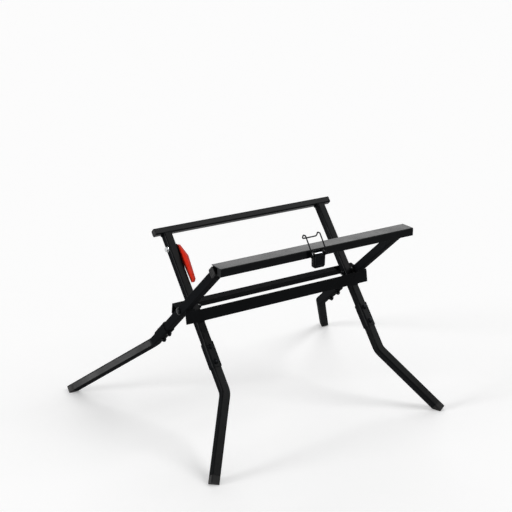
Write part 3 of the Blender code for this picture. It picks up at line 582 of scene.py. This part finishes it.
shankLook = {"sides": 40, "chamfer": 0.2}  # the chamfer is a share of the radius


def addShank(name, radius, length, look):
    # a round bar down from zero with a chamfered end, left in edit mode
    chamfer = radius * look["chamfer"]
    bpy.ops.object.select_all(action="DESELECT")
    bpy.ops.mesh.primitive_cylinder_add(
        vertices=look["sides"], radius=radius, depth=length - chamfer,
        location=(0, 0, (chamfer - length) / 2))
    bpy.ops.object.transform_apply(location=True, rotation=True, scale=True)
    piece = bpy.context.object
    piece.name = name
    inEditMode(piece)
    pickFaces(piece, lambda face: face.normal.z < -meshLook["endOn"])
    growRings([(-length, radius - chamfer)], radius, chamfer - length)
    return piece


domeLook = {"rings": 8, "skirt": 0.15, "edgeMm": 0.1, "sharp": 50}  # skirt: share of the rise
boltLook = {
    "sleeve": {**domeLook, "headMm": 16, "riseMm": 4.2, "shankMm": 8, "flatMm": 2},
    "pivot": {**domeLook, "headMm": 21, "riseMm": 5.0, "shankMm": 10, "flatMm": 8},
}


def modelBolt(node, look, out):
    # a bolt with a low round head: shank, underside of the head, then the dome in rings
    low, high = spanAlong(node, out)
    top, skirt = metres(look["riseMm"]), look["skirt"]
    head, flat, shank = [metres(look[size]) / 2 for size in ("headMm", "flatMm", "shankMm")]
    turns = [pi / 2 * step / look["rings"] for step in range(look["rings"])]
    dome = [(top * (skirt + (1 - skirt) * sin(turn)), flat + (head - flat) * cos(turn))
            for turn in turns]
    piece = addShank(makerName(node), shank, high - top - low, shankLook)
    pickTop(piece)
    growRings([(0, head)] + dome + [(top, flat)], shank)
    closeUp()
    placeAlong(piece, node, out, high - top)
    finishPiece(piece, look, node)


leverBoltLook = {
    "shankMm": 8, "flangeMm": 16, "thickMm": 1.4, "acrossMm": 13, "headMm": 5.5, "dishMm": 0.6,
    # shares: where the flange starts to slope and how far in, the head's crown and its dish
    "slopeFrom": 0.5, "slopeTo": 0.84, "crown": 0.88, "dishRim": 0.2, "dishWall": 0.08,
    "edgeMm": 0.2, "sharp": 28,
}


def modelLeverBolt(node, look):
    # a flanged bolt: round bar and flange in one, with the six-sided head joined on top
    low, high = spanAlong(node, -acrossX)
    thick, tall = metres(look["thickMm"]), metres(look["headMm"])
    shank, rim = metres(look["shankMm"]) / 2, metres(look["flangeMm"]) / 2
    reach = metres(look["acrossMm"]) / 2 / cos(radians(30))  # from the flats to the corners
    seat = high - tall
    slope = thick * look["slopeFrom"]
    bar = addShank(makerName(node), shank, seat - low, shankLook)
    pickTop(bar)
    growRings([(0, rim), (slope, rim), (thick, rim * look["slopeTo"])], shank)
    closeUp()
    bpy.ops.object.select_all(action="DESELECT")
    bpy.ops.mesh.primitive_cylinder_add(
        vertices=6, radius=reach, depth=tall, location=(0, 0, tall / 2 + slope))
    bpy.ops.object.transform_apply(location=True, rotation=True, scale=True)
    head = bpy.context.object
    inEditMode(head)
    pickTop(head)
    growRings([(tall + thick, reach * look["crown"])], reach, tall + slope)
    bpy.ops.mesh.inset(thickness=reach * look["dishRim"])
    bpy.ops.mesh.inset(thickness=reach * look["dishWall"], depth=-metres(look["dishMm"]))
    closeUp()
    bar.select_set(True)
    bpy.context.view_layer.objects.active = bar
    bpy.ops.object.join()
    placeAlong(bar, node, -acrossX, seat)
    finishPiece(bar, look, node)


weldLook = {
    "lengthMm": 23, "wideMm": 4.4, "sunkMm": 0.6, "ripples": 10, "sides": 10,
    "valley": 0.8, "end": 0.35,  # shares of the full width
    "edgeMm": 0.05, "sharp": 89,
}


def modelWeld(look):
    # one weld bead along X: a ring drawn out step by step, swelling at every ripple
    half, full = metres(look["lengthMm"]) / 2, metres(look["wideMm"]) / 2
    count = 2 * look["ripples"]
    step = 2 * half / count
    reach = [full * (1 if ring % 2 else look["valley"]) for ring in range(count + 1)]
    reach[0] = reach[-1] = full * look["end"]
    bpy.ops.object.select_all(action="DESELECT")
    bpy.ops.mesh.primitive_circle_add(
        vertices=look["sides"], radius=reach[0], fill_type="NGON",
        location=(-half, 0, 0), rotation=(0, radians(90), 0))
    bpy.ops.object.transform_apply(location=True, rotation=True, scale=True)
    bead = bpy.context.object
    inEditMode(bead)
    for ring in range(1, count + 1):
        bpy.ops.mesh.extrude_region_move(TRANSFORM_OT_translate={"value": (step, 0, 0)})
        grow = reach[ring] / reach[ring - 1]
        bpy.ops.transform.resize(
            value=(1, grow, grow), center_override=(ring * step - half, 0, 0))
    closeUp()
    return bead


def weldSpots(leg, look):
    # seams round a leg's top and at both toes of its bar: name, place, run, outward
    word = leg.split("_")[0]
    rail, bar = {"inner": ("rear_rail", "front_bar"), "outer": ("front_tube", "rear_bar")}[word]
    along, off = upLeg[word], upFace[word]
    middle = acrossX * middleAlong(leg, acrossX)
    top = along * spanAlong(leg, along)[1]
    legUnder, legFace = spanAlong(leg, off)
    railUnder, railFace = spanAlong(rail, off)
    legMiddle = off * (legUnder + legFace) / 2
    half = acrossX * (legFace - legUnder) / 2
    barLow, barHigh = spanAlong(bar, along)
    sunk = metres(look["sunkMm"])
    yield "topFront", middle + top + off * ((legFace + railFace) / 2 - sunk), acrossX, off
    yield "topBack", middle + top + off * ((legUnder + railUnder) / 2 + sunk), acrossX, -off
    yield "topLeft", middle + top + legMiddle - half, off, -acrossX
    yield "topRight", middle + top + legMiddle + half, off, acrossX
    yield "barLow", middle + along * barLow + off * (legFace + sunk), acrossX, off
    yield "barHigh", middle + along * (barHigh - sunk) + off * (legFace + sunk), acrossX, off


def layWelds(look):
    bead = modelWeld(look)
    laid = 0
    for leg in ("inner_leg_left", "inner_leg_right", "outer_leg_left", "outer_leg_right"):
        for place, spot, run, out in weldSpots(leg, look):
            name = makerName("weld_" + leg) + place.capitalize()
            piece = bpy.data.objects.new(name, bead.data.copy())
            scene.collection.objects.link(piece)
            piece.data.transform(turnedTo(spot, run, out))
            finishPiece(piece, look, body=bodyOf[leg], slot="coated_steel")
            laid += 1
    bpy.data.objects.remove(bead)
    return laid


softenLook = {
    # broken edge in millimetres and from how many degrees an edge counts as one, by finish;
    # the hook is thin and has its own
    "coated_steel": {"edgeMm": 0.6, "sharp": 20}, "black_steel": {"edgeMm": 0.3, "sharp": 28},
    "zinc_steel": {"edgeMm": 0.25, "sharp": 28}, "black_plastic": {"edgeMm": 0.5, "sharp": 20},
    "lock_hook": {"edgeMm": 0.15, "sharp": 50},
}
bendLook = {"roundMm": 1.1, "rings": 3, "from": 19, "to": 50}  # degrees that count as a bend


def roundBends(piece, look):
    # the faceted corners and bends of tube and sheet rounded off; needs edit mode
    bpy.ops.mesh.select_all(action="DESELECT")
    bpy.ops.mesh.select_mode(type="EDGE")
    mesh = bmesh.from_edit_mesh(piece.data)
    for edge in mesh.edges:
        turn = edge.calc_face_angle(0)
        edge.select_set(edge.is_convex and radians(look["from"]) < turn < radians(look["to"]))
    bmesh.update_edit_mesh(piece.data)
    bpy.ops.mesh.bevel(
        offset=metres(look["roundMm"]), segments=look["rings"], clamp_overlap=True)


def softenNode(node):
    # a node whose shape is right already, with its bends rounded and its edges broken
    piece = copyNode(node)
    look = softenLook.get(node, softenLook[slotOf[node]])
    if look == softenLook["coated_steel"]:
        roundBends(piece, bendLook)
    finishPiece(piece, look, node)


for node in sorted(cadNodes):
    if "foot" in node:
        modelFoot(node, footLook)
    elif "plug" in node:
        modelPlug(node, plugLook)
    elif "sleeve_bolt" in node:
        modelBolt(node, boltLook["sleeve"], upFace[frameOf[node.split("_")[0]]])
    elif "pivot_bolt" in node:
        modelBolt(node, boltLook["pivot"], -acrossX if node.endswith("left") else acrossX)
    elif node == "lever_bolt":
        modelLeverBolt(node, leverBoltLook)
    elif node == "release_lever":
        modelLever(node, leverLook)
    elif node == "latch_handle":
        modelLatchHandle(node, handleLook)
    elif node == "latch_bail":
        modelBail(node, bailLook)
    else:
        softenNode(node)
print("nodes modelled:", len(cadNodes))
print("welds laid:", layWelds(weldLook))


def seenRays(tree):
    # one for what the eye and reflections see, zero for the light that falls on the stand
    rays = addNode(tree, "ShaderNodeLightPath").outputs
    seen = addNode(tree, "ShaderNodeMath", {
        0: rays["Is Camera Ray"], 1: rays["Is Glossy Ray"]}, operation="ADD")
    seen = addNode(tree, "ShaderNodeMath", {
        0: seen.outputs["Value"], 1: rays["Is Transmission Ray"]},
        operation="ADD", use_clamp=True)
    return seen.outputs["Value"]


floorLook = {
    "size": 60.0, "colour": "#f2f2f2", "glow": "#ffffff", "lift": 0.26,
    "allOver": {"Roughness": 0.9, "Specular IOR Level": 0.0},
}


def makeFloor(look):
    bpy.ops.object.select_all(action="DESELECT")
    bpy.ops.mesh.primitive_plane_add(size=look["size"])
    floor = bpy.context.object
    floor.name = "floor"
    material, tree, shader = newMaterial("paleFloor")
    shader.inputs["Base Color"].default_value = hexColour(look["colour"])
    shader.inputs["Emission Color"].default_value = hexColour(look["glow"])
    for name, value in look["allOver"].items():
        shader.inputs[name].default_value = value
    lift = addNode(tree, "ShaderNodeMath", {
        0: seenRays(tree), 1: look["lift"]}, operation="MULTIPLY")  # the last bit up to white
    tree.links.new(lift.outputs["Value"], shader.inputs["Emission Strength"])
    floor.data.materials.append(material)


lampLook = {
    # where each soft lamp stands, how wide it is in degrees, and its strength
    "highRight": {"side": (0.511, -0.452, 0.731), "spread": 30, "strength": 0.95},
    "highRear": {"side": (0.45, 0.70, 0.55), "spread": 40, "strength": 0.9},
    "lowLeft": {"side": (-0.96, 0.21, 0.16), "spread": 18, "strength": 2.4},
}


def makeLamp(name, look):
    data = bpy.data.lights.new(name, "SUN")
    data.energy = look["strength"]
    data.angle = radians(look["spread"])
    lamp = bpy.data.objects.new(name, data)
    lamp.rotation_euler = Vector(look["side"]).to_track_quat("Z", "Y").to_euler()
    scene.collection.objects.link(lamp)


roomLook = {"colour": "#ffffff", "strength": {"To Min": 0.3, "To Max": 1.0}}  # lit by, seen as


def makeRoom(look):
    world = bpy.data.worlds.new("studio")
    world.use_nodes = True
    tree = world.node_tree
    sky = tree.nodes["Background"]
    sky.inputs["Color"].default_value = hexColour(look["colour"])
    strength = addNode(tree, "ShaderNodeMapRange", {
        "Value": seenRays(tree), **look["strength"]})
    tree.links.new(strength.outputs["Result"], sky.inputs["Strength"])
    scene.world = world


cameraLook = {
    "azimuth": -32.777, "elevation": 19.34, "distance": 3.5508,
    "target": (0.1937, 0.3504, 0.306), "lens": 76.524, "sensor": 36,
}


def makeCamera(look):
    az, el = radians(look["azimuth"]), radians(look["elevation"])
    back = Vector((sin(az) * cos(el), -cos(az) * cos(el), sin(el)))
    data = bpy.data.cameras.new("camera")
    data.lens = look["lens"]
    data.sensor_width = look["sensor"]
    camera = bpy.data.objects.new("camera", data)
    camera.location = Vector(look["target"]) + back * look["distance"]
    camera.rotation_euler = back.to_track_quat("Z", "Y").to_euler()
    scene.collection.objects.link(camera)
    scene.camera = camera


makeFloor(floorLook)
for name, look in lampLook.items():
    makeLamp(name, look)
makeRoom(roomLook)
makeCamera(cameraLook)
print("floor, lamps, room and camera set")
